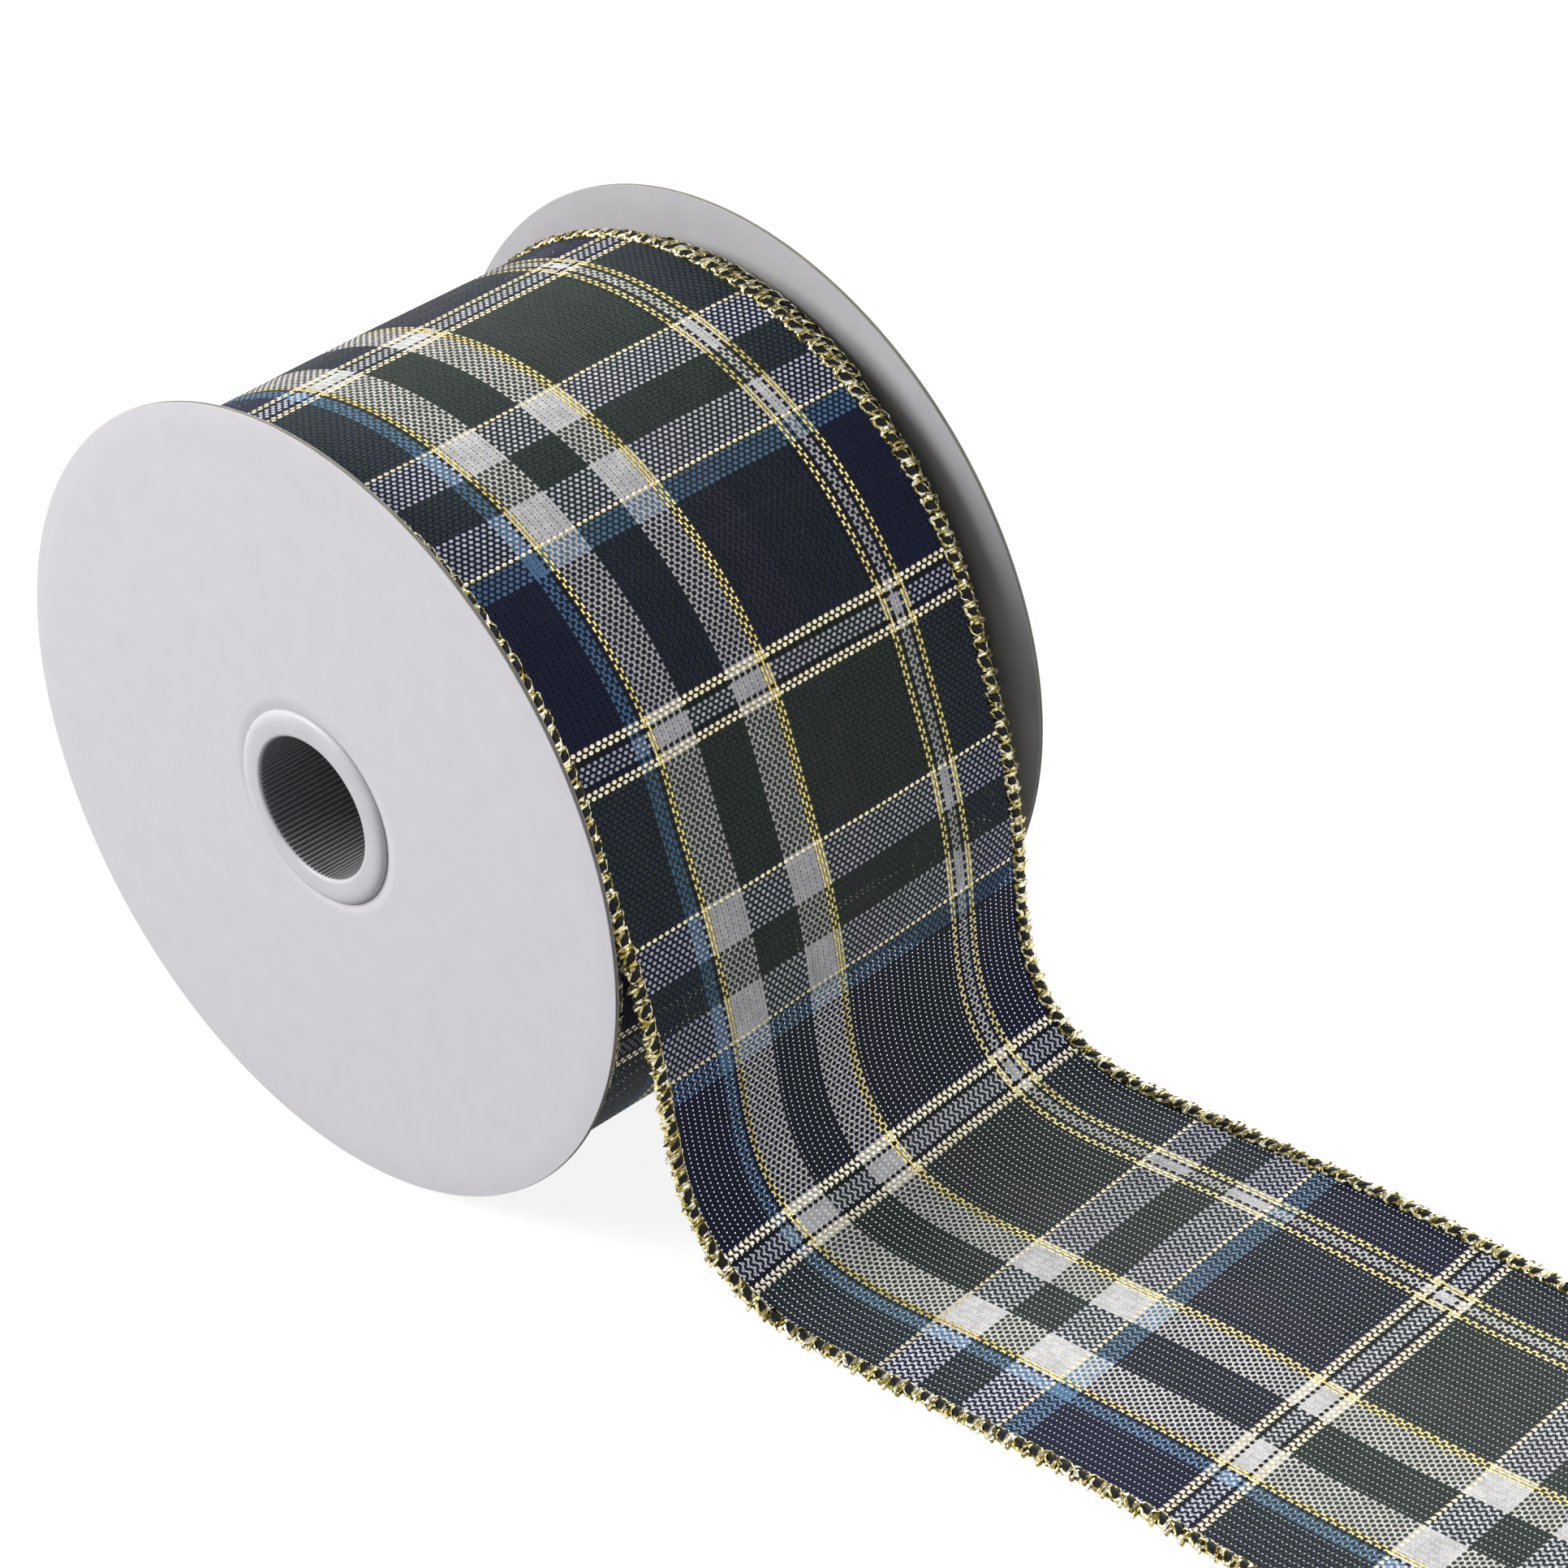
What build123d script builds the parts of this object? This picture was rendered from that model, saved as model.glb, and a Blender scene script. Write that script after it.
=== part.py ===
from build123d import *
import os
from math import asin, cos, degrees, radians, sin

os.makedirs("parts", exist_ok=True)

# Ribbon spool: two faced paperboard flanges on a paperboard core, clamped by a two-piece
# plastic hub, with a wire-edged ribbon wound between them and its loose end drawn off.
# Y is the axis of the bore, Z is up, the loose end runs to +X. The origin is the bore's centre.

# Flanges: a grey board disc with white paper glued on both faces
flange_diameter = 102.0
board_thickness = 0.4
facing_thickness = 0.1
flange_gap = 68.4  # between the inner facings, room for a 63 mm ribbon

# Core tube and hub
bore_radius = 9.2
hub_wall = 1.4
core_wall = 2.0
hub_lip_width = 1.9  # beyond the barrel
hub_lip_thickness = 0.8
hub_mouth_radius = 0.6
hub_lap_length = 8.0
hub_lap_wall = 0.6
flute_count = 90
flute_width = 0.12
flute_depth = 0.3
flute_start = 1.0  # below the lip's face

# Ribbon
ribbon_width = 63.0  # over both edgings
fabric_thickness = 0.5
edging_width = 1.6
edging_thickness = 1.2
wire_size = 0.4
ribbon_offset = -0.6  # the turns sit a little towards the near flange
tape_thickness = 0.15
tape_width = 40.0
tape_angle = 60.0
turn_clearance = 0.3  # between the outermost turn and the turns under it
lead_radius = 46.65  # middle of the outermost turn's fabric

# Loose end, as directions of travel in the XZ plane
leave_angle = 15.0  # where the ribbon leaves the roll, above +X
wrap_angle = 344.0  # how far the outermost turn goes round
fall_length = 44.0
fall_steps = 7
fall_end_direction = -88.0
fall_drift = 1.0  # sideways, towards the far flange
bend_radius = 15.5
tail_length = 95.0
tail_yaw = 4.5

# Derived sizes
flange_radius = flange_diameter / 2
flange_thickness = board_thickness + 2 * facing_thickness
inner_face = flange_gap / 2
outer_face = inner_face + flange_thickness
hub_radius = bore_radius + hub_wall
hub_lip_radius = hub_radius + hub_lip_width
core_radius = hub_radius + core_wall
wound_start = core_radius + tape_thickness
wound_radius = lead_radius - fabric_thickness / 2 - turn_clearance
wound_edging_radius = lead_radius - edging_thickness / 2 - turn_clearance
half_width = ribbon_width / 2
fabric_half = half_width - edging_width


def disc(near_y, thickness):
    """An annular disc on the bore's axis that starts at near_y and grows towards +Y."""
    with BuildPart() as body:
        with BuildSketch(Plane.XZ.offset(-near_y)):
            Circle(flange_radius)
            Circle(hub_radius, mode=Mode.SUBTRACT)
        extrude(amount=-thickness)
    return body


def ring(low_y, high_y, inner_radius, outer_radius):
    """A plain tube on the bore's axis between two Y positions."""
    with BuildPart() as body:
        with BuildSketch(Plane.XZ.offset(-high_y)):
            Circle(outer_radius)
            Circle(inner_radius, mode=Mode.SUBTRACT)
        extrude(amount=high_y - low_y)
    return body


# --- Flanges -------------------------------------------------------------------------------

for side, sign in (("near", -1), ("far", 1)):
    layers = [
        ("flange_inner_paper", inner_face, facing_thickness),
        ("flange_board", inner_face + facing_thickness, board_thickness),
        ("flange_outer_paper", inner_face + facing_thickness + board_thickness, facing_thickness),
    ]
    for layer_name, depth, thickness in layers:
        low = depth if sign > 0 else -depth - thickness
        layer = disc(low, thickness)
        layer.part.label = f"{side}_{layer_name}"
        export_step(layer.part, f"parts/{side}_{layer_name}.step")

# --- Core tube and the tape that starts the ribbon -----------------------------------------

with BuildPart() as core_tube:
    with BuildSketch(Plane.XZ.offset(-inner_face)):
        Circle(core_radius)
        Circle(hub_radius, mode=Mode.SUBTRACT)
    extrude(amount=flange_gap)
core_tube.part.label = "core_tube"
export_step(core_tube.part, "parts/core_tube.step")

with BuildPart() as start_tape:
    with BuildSketch(Plane.XZ.offset(-(ribbon_offset + tape_width / 2))):
        with BuildLine():
            inside = CenterArc((0, 0), core_radius, 0, tape_angle)
            outside = CenterArc((0, 0), wound_start, 0, tape_angle)
            Line(inside @ 0, outside @ 0)
            Line(inside @ 1, outside @ 1)
        make_face()
    extrude(amount=tape_width)
start_tape.part.label = "start_tape"
export_step(start_tape.part, "parts/start_tape.step")

# --- Hub: two flared halves that lap inside the core tube ----------------------------------

lip_face = outer_face + hub_lip_thickness
lap_radius = bore_radius + hub_lap_wall


def hub_half(sign):
    """One hub half, its lip at sign times Y: lip, rounded mouth, and fluted barrel that laps the other half."""
    lap_end = hub_lap_length / 2
    with BuildPart() as body:
        with BuildSketch(Plane.XY):
            with BuildLine():
                Polyline(
                    (bore_radius, lap_end),
                    (lap_radius, lap_end),
                    (lap_radius, -lap_end),
                    (hub_radius, -lap_end),
                    (hub_radius, sign * outer_face),
                    (hub_lip_radius, sign * outer_face),
                    (hub_lip_radius, sign * lip_face),
                    (bore_radius, sign * lip_face),
                    close=True,
                )
            make_face()
        revolve(axis=Axis.Y)
        face_edges = body.edges().filter_by(GeomType.CIRCLE).group_by(Axis.Y)[-1 if sign > 0 else 0]
        fillet(face_edges.sort_by(SortBy.RADIUS)[0], radius=hub_mouth_radius)
        low, high = sorted((lap_end, sign * (lip_face - flute_start)))
        with BuildSketch(Plane.XZ.offset(-high)):
            with PolarLocations(bore_radius, flute_count):
                Rectangle(2 * flute_depth, flute_width)
        extrude(amount=high - low, mode=Mode.SUBTRACT)
    return body


for hub_name, sign in (("near_hub", -1), ("far_hub", 1)):
    hub = hub_half(sign)
    hub.part.label = hub_name
    export_step(hub.part, f"parts/{hub_name}.step")

# --- Inner turns, which turn with the flanges ----------------------------------------------

wound_bands = [
    ("wound_ribbon", -fabric_half, fabric_half, wound_radius),
    ("wound_near_edging", -half_width, -fabric_half, wound_edging_radius),
    ("wound_far_edging", fabric_half, half_width, wound_edging_radius),
]
for band_name, low, high, outer in wound_bands:
    band = ring(ribbon_offset + low, ribbon_offset + high, wound_start, outer)
    band.part.label = band_name
    export_step(band.part, f"parts/{band_name}.step")

# --- Outermost turn and loose end ----------------------------------------------------------

leave_direction = leave_angle - 90
fall_turn = fall_end_direction - leave_direction


def fall_plane(share, x, z):
    """The ribbon's cross-section plane a share of the way down the fall; its x axis runs across."""
    pitch = radians(leave_direction + fall_turn * share)
    yaw = radians(tail_yaw * share)
    along = (cos(pitch) * cos(yaw), cos(pitch) * sin(yaw), sin(pitch))
    across = (-sin(yaw), cos(yaw), 0)
    return Plane(origin=(x, ribbon_offset + fall_drift * share, z), x_dir=across, z_dir=along)


fall_planes = [fall_plane(0, lead_radius * cos(radians(leave_angle)), lead_radius * sin(radians(leave_angle)))]
step = fall_length / fall_steps
for index in range(fall_steps):
    heading = radians(leave_direction + fall_turn * (index + 0.5) / fall_steps)
    above = fall_planes[-1].origin
    fall_planes.append(fall_plane((index + 1) / fall_steps, above.X + step * cos(heading),
                                  above.Z + step * sin(heading)))

bend_start = fall_planes[-1].origin
yaw = radians(tail_yaw)
tail_plane = Plane(origin=bend_start, x_dir=(cos(yaw), sin(yaw), 0), z_dir=(sin(yaw), -cos(yaw), 0))
bend_centre = bend_radius * Vector(-sin(radians(fall_end_direction)), cos(radians(fall_end_direction)))
bend_foot = bend_start.Z + bend_centre.Y - bend_radius
tail_slope = degrees(asin((bend_foot - edging_thickness / 2 + flange_radius) / tail_length))
bend_turn = -tail_slope - fall_end_direction
tail_start = bend_centre + bend_radius * Vector(-sin(radians(tail_slope)), -cos(radians(tail_slope)))


def lead_band(low, high, thickness):
    """A strip of the ribbon between two distances across it: outermost turn, fall, bend and tail."""
    width = high - low
    middle = (low + high) / 2
    with BuildPart() as body:
        with BuildSketch(Plane.XZ.offset(-(ribbon_offset + high))):
            with BuildLine():
                outside = CenterArc((0, 0), lead_radius + thickness / 2, leave_angle, wrap_angle)
                inside = CenterArc((0, 0), lead_radius - thickness / 2, leave_angle, wrap_angle)
                Line(outside @ 0, inside @ 0)
                Line(outside @ 1, inside @ 1)
            make_face()
        extrude(amount=width)
        for plane in fall_planes:
            with BuildSketch(plane):
                with Locations((middle, 0)):
                    Rectangle(width, thickness)
        loft(ruled=True)
        with BuildSketch(tail_plane.offset(-high)):
            with BuildLine():
                start_angle = fall_end_direction - 90
                under = CenterArc(bend_centre, bend_radius + thickness / 2, start_angle, bend_turn)
                over = CenterArc(bend_centre, bend_radius - thickness / 2, start_angle, bend_turn)
                Line(under @ 0, over @ 0)
                Line(under @ 1, over @ 1)
            make_face()
            with Locations(Location(tail_start, (0, 0, -tail_slope))):
                Rectangle(tail_length, thickness, align=(Align.MIN, Align.CENTER))
        extrude(amount=width)
    return body


wire_middle = half_width - edging_width / 2
wire_bands = [
    ("lead_near_wire", -wire_middle - wire_size / 2, -wire_middle + wire_size / 2),
    ("lead_far_wire", wire_middle - wire_size / 2, wire_middle + wire_size / 2),
]
for wire_name, low, high in wire_bands:
    wire = lead_band(low, high, wire_size)
    wire.part.label = wire_name
    export_step(wire.part, f"parts/{wire_name}.step")

edging_bands = [
    ("lead_near_edging", -half_width, -fabric_half, -wire_middle),
    ("lead_far_edging", fabric_half, half_width, wire_middle),
]
for edging_name, low, high, hole_middle in edging_bands:
    solid = lead_band(low, high, edging_thickness)
    channel = lead_band(hole_middle - wire_size / 2, hole_middle + wire_size / 2, wire_size)
    with BuildPart() as edging:
        add(solid.part)
        add(channel.part, mode=Mode.SUBTRACT)
    edging.part.label = edging_name
    export_step(edging.part, f"parts/{edging_name}.step")

lead_ribbon = lead_band(-fabric_half, fabric_half, fabric_thickness)
lead_ribbon.part.label = "lead_ribbon"
export_step(lead_ribbon.part, "parts/lead_ribbon.step")
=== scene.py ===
import math

import bpy
import numpy as np
from mathutils import Matrix, Vector


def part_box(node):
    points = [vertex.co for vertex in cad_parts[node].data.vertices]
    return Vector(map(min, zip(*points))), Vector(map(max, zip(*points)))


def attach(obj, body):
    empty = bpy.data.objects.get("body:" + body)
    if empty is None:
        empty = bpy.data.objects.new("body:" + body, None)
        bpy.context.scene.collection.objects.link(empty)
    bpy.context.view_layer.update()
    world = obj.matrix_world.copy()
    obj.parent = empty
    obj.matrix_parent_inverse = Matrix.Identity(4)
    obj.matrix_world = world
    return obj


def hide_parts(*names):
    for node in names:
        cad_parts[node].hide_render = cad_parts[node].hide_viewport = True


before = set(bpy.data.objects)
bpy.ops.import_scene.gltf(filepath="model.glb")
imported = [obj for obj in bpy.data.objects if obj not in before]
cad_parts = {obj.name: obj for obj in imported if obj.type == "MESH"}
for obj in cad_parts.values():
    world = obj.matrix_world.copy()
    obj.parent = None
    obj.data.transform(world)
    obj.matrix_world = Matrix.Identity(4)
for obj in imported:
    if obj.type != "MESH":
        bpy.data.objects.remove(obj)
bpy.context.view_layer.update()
scene = bpy.context.scene
mm = 0.001


def addNode(tree, kind, inputs=(), **settings):
    # inputs is a list in socket order, or a dict by socket name or number; nodes and sockets are linked, values set
    item = tree.nodes.new("ShaderNode" + kind)
    for name, value in settings.items():
        setattr(item, name, value)
    pairs = inputs.items() if isinstance(inputs, dict) else enumerate(inputs)
    for key, value in pairs:
        if isinstance(value, bpy.types.Node):
            value = value.outputs[0]
        if isinstance(value, bpy.types.NodeSocket):
            tree.links.new(value, item.inputs[key])
        elif value is not None:
            item.inputs[key].default_value = value
    return item


def hexColour(text, alpha=1.0):
    # sRGB hex to the linear values that sockets take
    parts = [int(text[i:i + 2], 16) / 255 for i in (1, 3, 5)]
    return [c / 12.92 if c <= 0.04045 else ((c + 0.055) / 1.055) ** 2.4 for c in parts] + [alpha]


def textureScale(size):
    # the scale of a texture whose features are this many mm across
    return 1 / (size * mm)


def newMaterial(name):
    material = bpy.data.materials.new(name)
    material.use_nodes = True
    material.node_tree.nodes.clear()
    return material, material.node_tree


def fillRamp(item, stops):
    # stops are (place from 0 to 1, hex colour) or (place, hex colour, alpha)
    elements = item.color_ramp.elements
    while len(elements) > 1:
        elements.remove(elements[-1])
    for index, (place, *colour) in enumerate(stops):
        element = elements[0] if index == 0 else elements.new(place)
        element.position = place
        element.color = hexColour(*colour)


def smooth(t):
    t = np.clip(t, 0, 1)
    return t * t * (3 - 2 * t)


def unit(vectors):
    return vectors / np.maximum(np.linalg.norm(vectors, axis=-1, keepdims=True), 1e-12)


def gridMesh(name, material, points, uv=None, closeColumns=False, closeRows=False, caps=False):
    # points is rows x columns x 3 in metres; uv is the same grid, one wider or taller where it closes
    rows, columns = points.shape[:2]
    rowSteps = rows if closeRows else rows - 1
    columnSteps = columns if closeColumns else columns - 1
    r, c = np.meshgrid(np.arange(rowSteps), np.arange(columnSteps), indexing="ij")
    r, c = r.ravel(), c.ravel()
    r2, c2 = (r + 1) % rows, (c + 1) % columns
    quads = np.stack([r * columns + c, r * columns + c2, r2 * columns + c2, r2 * columns + c], 1)
    faces = quads.tolist()
    if caps:
        faces.append(list(range(columns - 1, -1, -1)))
        faces.append([(rows - 1) * columns + k for k in range(columns)])
    mesh = bpy.data.meshes.new(name)
    mesh.from_pydata(points.reshape(-1, 3).tolist(), [], faces)
    if uv is not None:
        layer = mesh.uv_layers.new(name="UVMap")
        corners = np.stack([uv[r, c], uv[r, c + 1], uv[r + 1, c + 1], uv[r + 1, c]], 1).reshape(-1, 2)
        flat = np.zeros((len(mesh.loops), 2), np.float32)
        flat[:len(corners)] = corners
        layer.data.foreach_set("uv", flat.ravel())
    mesh.polygons.foreach_set("use_smooth", [True] * len(mesh.polygons))
    mesh.update()
    piece = bpy.data.objects.new(name, mesh)
    scene.collection.objects.link(piece)
    piece.data.materials.append(material)
    return piece


def joinPieces(name, parts):
    # one mesh from several that share a material
    bpy.ops.object.select_all(action="DESELECT")
    for part in parts:
        part.select_set(True)
    bpy.context.view_layer.objects.active = parts[0]
    bpy.ops.object.join()
    parts[0].name = parts[0].data.name = name
    parts[0].select_set(False)
    return parts[0]


def revolved(name, material, profile, segments, ripple=None):
    # profile is (radius, y) in mm, closed; ripple changes the grid of radii and ys by angle
    outline = np.array(profile, float)
    angles = np.linspace(0, 2 * math.pi, segments, endpoint=False)
    radius = np.repeat(outline[None, :, 0], segments, 0)
    along = np.repeat(outline[None, :, 1], segments, 0)
    if ripple:
        radius, along = ripple(radius, along, angles[:, None])
    points = np.stack([radius * np.cos(angles)[:, None], along, radius * np.sin(angles)[:, None]], -1) * mm
    return gridMesh(name, material, points, closeColumns=True, closeRows=True)


def rounded(corners, sizes, steps=4):
    # a closed outline whose corners are rounded; a size of 0 keeps the corner
    outline = []
    count = len(corners)
    for k, corner in enumerate(corners):
        corner, before, after = (np.array(p, float) for p in (corner, corners[k - 1], corners[(k + 1) % count]))
        if sizes[k] == 0:
            outline.append(corner)
            continue
        start = corner + unit(before - corner) * sizes[k]
        end = corner + unit(after - corner) * sizes[k]
        for t in np.linspace(0, 1, steps + 1):
            outline.append((1 - t) ** 2 * start + 2 * t * (1 - t) * corner + t ** 2 * end)
    return outline


def subdivided(outline, longest):
    # adds points on long runs, so that shading and ripples have something to bend
    result = []
    for k, point in enumerate(outline):
        after = outline[(k + 1) % len(outline)]
        count = max(1, int(math.ceil(np.linalg.norm(np.array(after) - point) / longest)))
        for j in range(count):
            result.append(np.array(point) + (np.array(after) - point) * j / count)
    return result


# Camera, at the height and side that show the hub, the outside of the roll and the loose end
print("camera")
cameraSet = {
    "azimuth": 47.76, "elevation": 32.05, "roll": -4.57,  # degrees
    "place": (488.9, -404.8, 380.3),  # mm
    "lens": 141.37, "sensorWidth": 36,  # mm
    "clip": (0.05, 20),  # metres
}
azimuth, elevation, roll = (math.radians(cameraSet[k]) for k in ("azimuth", "elevation", "roll"))
level = Vector((math.cos(azimuth), math.sin(azimuth), 0))
ahead = Vector((-math.sin(azimuth), math.cos(azimuth), 0))
back = Vector((0, 0, math.sin(elevation))) - ahead * math.cos(elevation)
upward = back.cross(level)
right = level * math.cos(roll) + upward * math.sin(roll)
cameraData = bpy.data.cameras.new("camera")
camera = bpy.data.objects.new("camera", cameraData)
scene.collection.objects.link(camera)
turned = Matrix((right, back.cross(right), back)).transposed()
camera.matrix_world = Matrix.Translation(Vector(cameraSet["place"]) * mm) @ turned.to_4x4()
cameraData.lens = cameraSet["lens"]
cameraData.sensor_width = cameraSet["sensorWidth"]
cameraData.clip_start, cameraData.clip_end = cameraSet["clip"]
scene.camera = camera

# The line that the ribbon follows: round the roll, down the fall, through the bend and along the table
flangeLow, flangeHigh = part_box("near_flange_board")
floorHeight = flangeLow.z / mm
flangeRadius = (flangeHigh.z - flangeLow.z) / 2 / mm
ribbonLine = {
    "rollRadius": 46.7, "leaveAngle": 15.0,
    "wrap": 384.0,  # degrees of the outermost turn, its last 24 tucked under the place where it leaves
    "tuckDepth": 0.67, "tuckStart": 315.0, "tuckTurn": 50.0,  # mm that it dips, from where and over how many degrees
    "edgedWrap": 346.0,  # the edges' loops stop before the tuck, and clear of the turns beneath, which move
    "width": 63.0, "edgingWidth": 1.6, "edgingHeight": 1.1,
    "sideways": -0.6,  # the turns sit a little towards the near flange
    "skew": 1.1, "skewRise": 80.0, "skewFall": 160.0,  # and the outermost one a little more at the top
    "slack": 2.4, "slackAt": 288.0, "slackWidth": 42.0,  # the loose outermost turn hangs below the roll
    "fallTurn": -13.0, "fallStart": 6.0, "fallLength": 28.0,
    "fallDrift": 1.0, "driftLength": 44.0,
    "bendTurn": 86.0, "bendStart": 37.0, "bendLength": 36.0,
    "sagTurn": -5.0, "sagPlace": 122.0, "sagLength": 16.0,
    "tailYaw": 4.5, "yawLength": 60.0, "length": 161.0, "step": 0.4,
    "tableGap": 0.1,  # between the edging and the table at the cut end
    "firstStripe": 9.8,  # mm from the first gold weft line to the place where the ribbon leaves the roll
}
halfWidth = ribbonLine["width"] / 2
leaveAngle = math.radians(ribbonLine["leaveAngle"])


def looseLine():
    # centre line and yaw of the loose end by distance from the roll, in mm
    line = ribbonLine
    s = np.arange(0, line["length"] + line["step"] / 2, line["step"])
    heading = line["leaveAngle"] - 90 + line["fallTurn"] * smooth((s - line["fallStart"]) / line["fallLength"])
    heading += line["bendTurn"] * smooth((s - line["bendStart"]) / line["bendLength"])
    heading += line["sagTurn"] * np.exp(-((s - line["sagPlace"]) / line["sagLength"]) ** 2)
    yaw = np.radians(line["tailYaw"] * smooth(s / line["yawLength"]))
    heading = np.radians(heading)
    moves = np.stack([np.cos(heading) * np.cos(yaw), np.cos(heading) * np.sin(yaw), np.sin(heading)], 1)
    start = [line["rollRadius"] * math.cos(leaveAngle), line["sideways"], line["rollRadius"] * math.sin(leaveAngle)]
    centre = np.vstack([[0, 0, 0], np.cumsum(moves[:-1] * line["step"], 0)]) + start
    centre[:, 1] += line["fallDrift"] * smooth(s / line["driftLength"])
    landed = floorHeight + line["edgingHeight"] / 2 + line["tableGap"]
    flatStart = line["bendStart"] + line["bendLength"]
    centre[:, 2] += np.clip((s - flatStart) / (s[-1] - flatStart), 0, 1) * (landed - centre[-1, 2])
    return s, centre, heading, yaw


looseS, looseCentre, looseHeading, looseYaw = looseLine()


def leadFrame(s):
    # centre, direction along, direction across and outward normal of the lead at distances s, negative on the roll
    line = ribbonLine
    s = np.asarray(s, float)
    angle = leaveAngle - np.minimum(s, 0) / line["rollRadius"]
    turned = np.degrees(angle) - line["leaveAngle"]
    radius = line["rollRadius"] - line["tuckDepth"] * smooth((turned - line["tuckStart"]) / line["tuckTurn"])
    radius = radius + line["slack"] * np.exp(-((turned - line["slackAt"]) / line["slackWidth"]) ** 2)
    skewed = smooth(turned / line["skewRise"]) * (1 - smooth((turned - line["skewFall"]) / line["skewFall"]))
    sideways = line["sideways"] - line["skew"] * skewed
    rolled = np.stack([radius * np.cos(angle), sideways, radius * np.sin(angle)], -1)
    loose = np.stack([np.interp(s, looseS, looseCentre[:, k]) for k in range(3)], -1)
    onRoll = (s < 0)[..., None]
    centre = np.where(onRoll, rolled, loose)
    heading = np.where(s < 0, angle - math.pi / 2, np.interp(s, looseS, looseHeading))
    yaw = np.where(s < 0, 0, np.interp(s, looseS, looseYaw))
    along = np.stack([np.cos(heading) * np.cos(yaw), np.cos(heading) * np.sin(yaw), np.sin(heading)], -1)
    across = np.stack([-np.sin(yaw), np.cos(yaw), np.zeros_like(yaw)], -1)
    return centre, along, across, unit(np.cross(across, along) * -1)


clothWave = {"onRoll": 0.10, "slow": 0.32, "quick": 0.10, "freeStart": 4.0, "freeLength": 30.0}  # mm


def clothLift(s, w):
    # how far the cloth stands off its centre line between the two wired edges, in mm: long and short waves
    share = 1 - (np.abs(w) / halfWidth) ** 2
    free = smooth((s - clothWave["freeStart"]) / clothWave["freeLength"])
    slow = np.sin(s / 9.3 + 0.6 + w / 21) * np.sin(w / 12.5 + s / 47 + 1.1)
    quick = np.sin(s / 4.1 - w / 9.7) * np.sin(w / 7.3 + 0.4)
    onRoll = clothWave["onRoll"] * (1 + slow)
    return share * ((1 - free) * onRoll + free * (clothWave["slow"] * slow + clothWave["quick"] * quick))


# Ribbon pattern: the sett across and along, in mm, with the colour of each band of threads
sett = {
    "across": [
        (0.0, "navy"), (9.7, "blue"), (11.9, "black"), (12.3, "gold"), (13.3, "ivory"), (18.7, "green"),
        (25.5, "ivory"), (30.3, "gold"), (31.8, "green"), (33.0, "charcoal"), (39.0, "green"), (49.4, "black"),
        (49.8, "gold"), (50.8, "black"), (51.2, "ivory"), (52.8, "black"), (53.2, "gold"), (54.2, "black"),
        (54.6, "navy"),
    ],
    "along": [
        (0.0, "gold"), (1.2, "black"), (1.5, "frost"), (4.2, "black"), (4.8, "gold"), (6.0, "moss"),
        (23.9, "gold"), (24.5, "frost"), (29.7, "moss"), (35.9, "frost"), (41.1, "gold"), (41.7, "blue"),
        (44.9, "navy"),
    ],
    "repeat": 64.2,
    "warpPitch": 0.475, "weftPitch": 0.6,  # thread spacing across and along
    "dotWide": 0.28, "dotLong": 0.215,  # half sizes of a weft thread where it shows on the face
    "pinhole": 0.095,  # radius of the gap between crossing threads
    "wander": (0.9, 1.2, 0), "wanderLength": 30.3,  # how far threads stray across and along, and over what length
    "slubSize": 3.85,  # length of the lighter and darker places in the yarn
}
yarn = {
    "navy": "#161c36", "blue": "#5f89ae", "black": "#121317", "ivory": "#eae7de", "frost": "#e6e9f2",
    "green": "#29322f", "charcoal": "#36363a", "moss": "#37423c", "gold": "#f0da8e",
}


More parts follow.
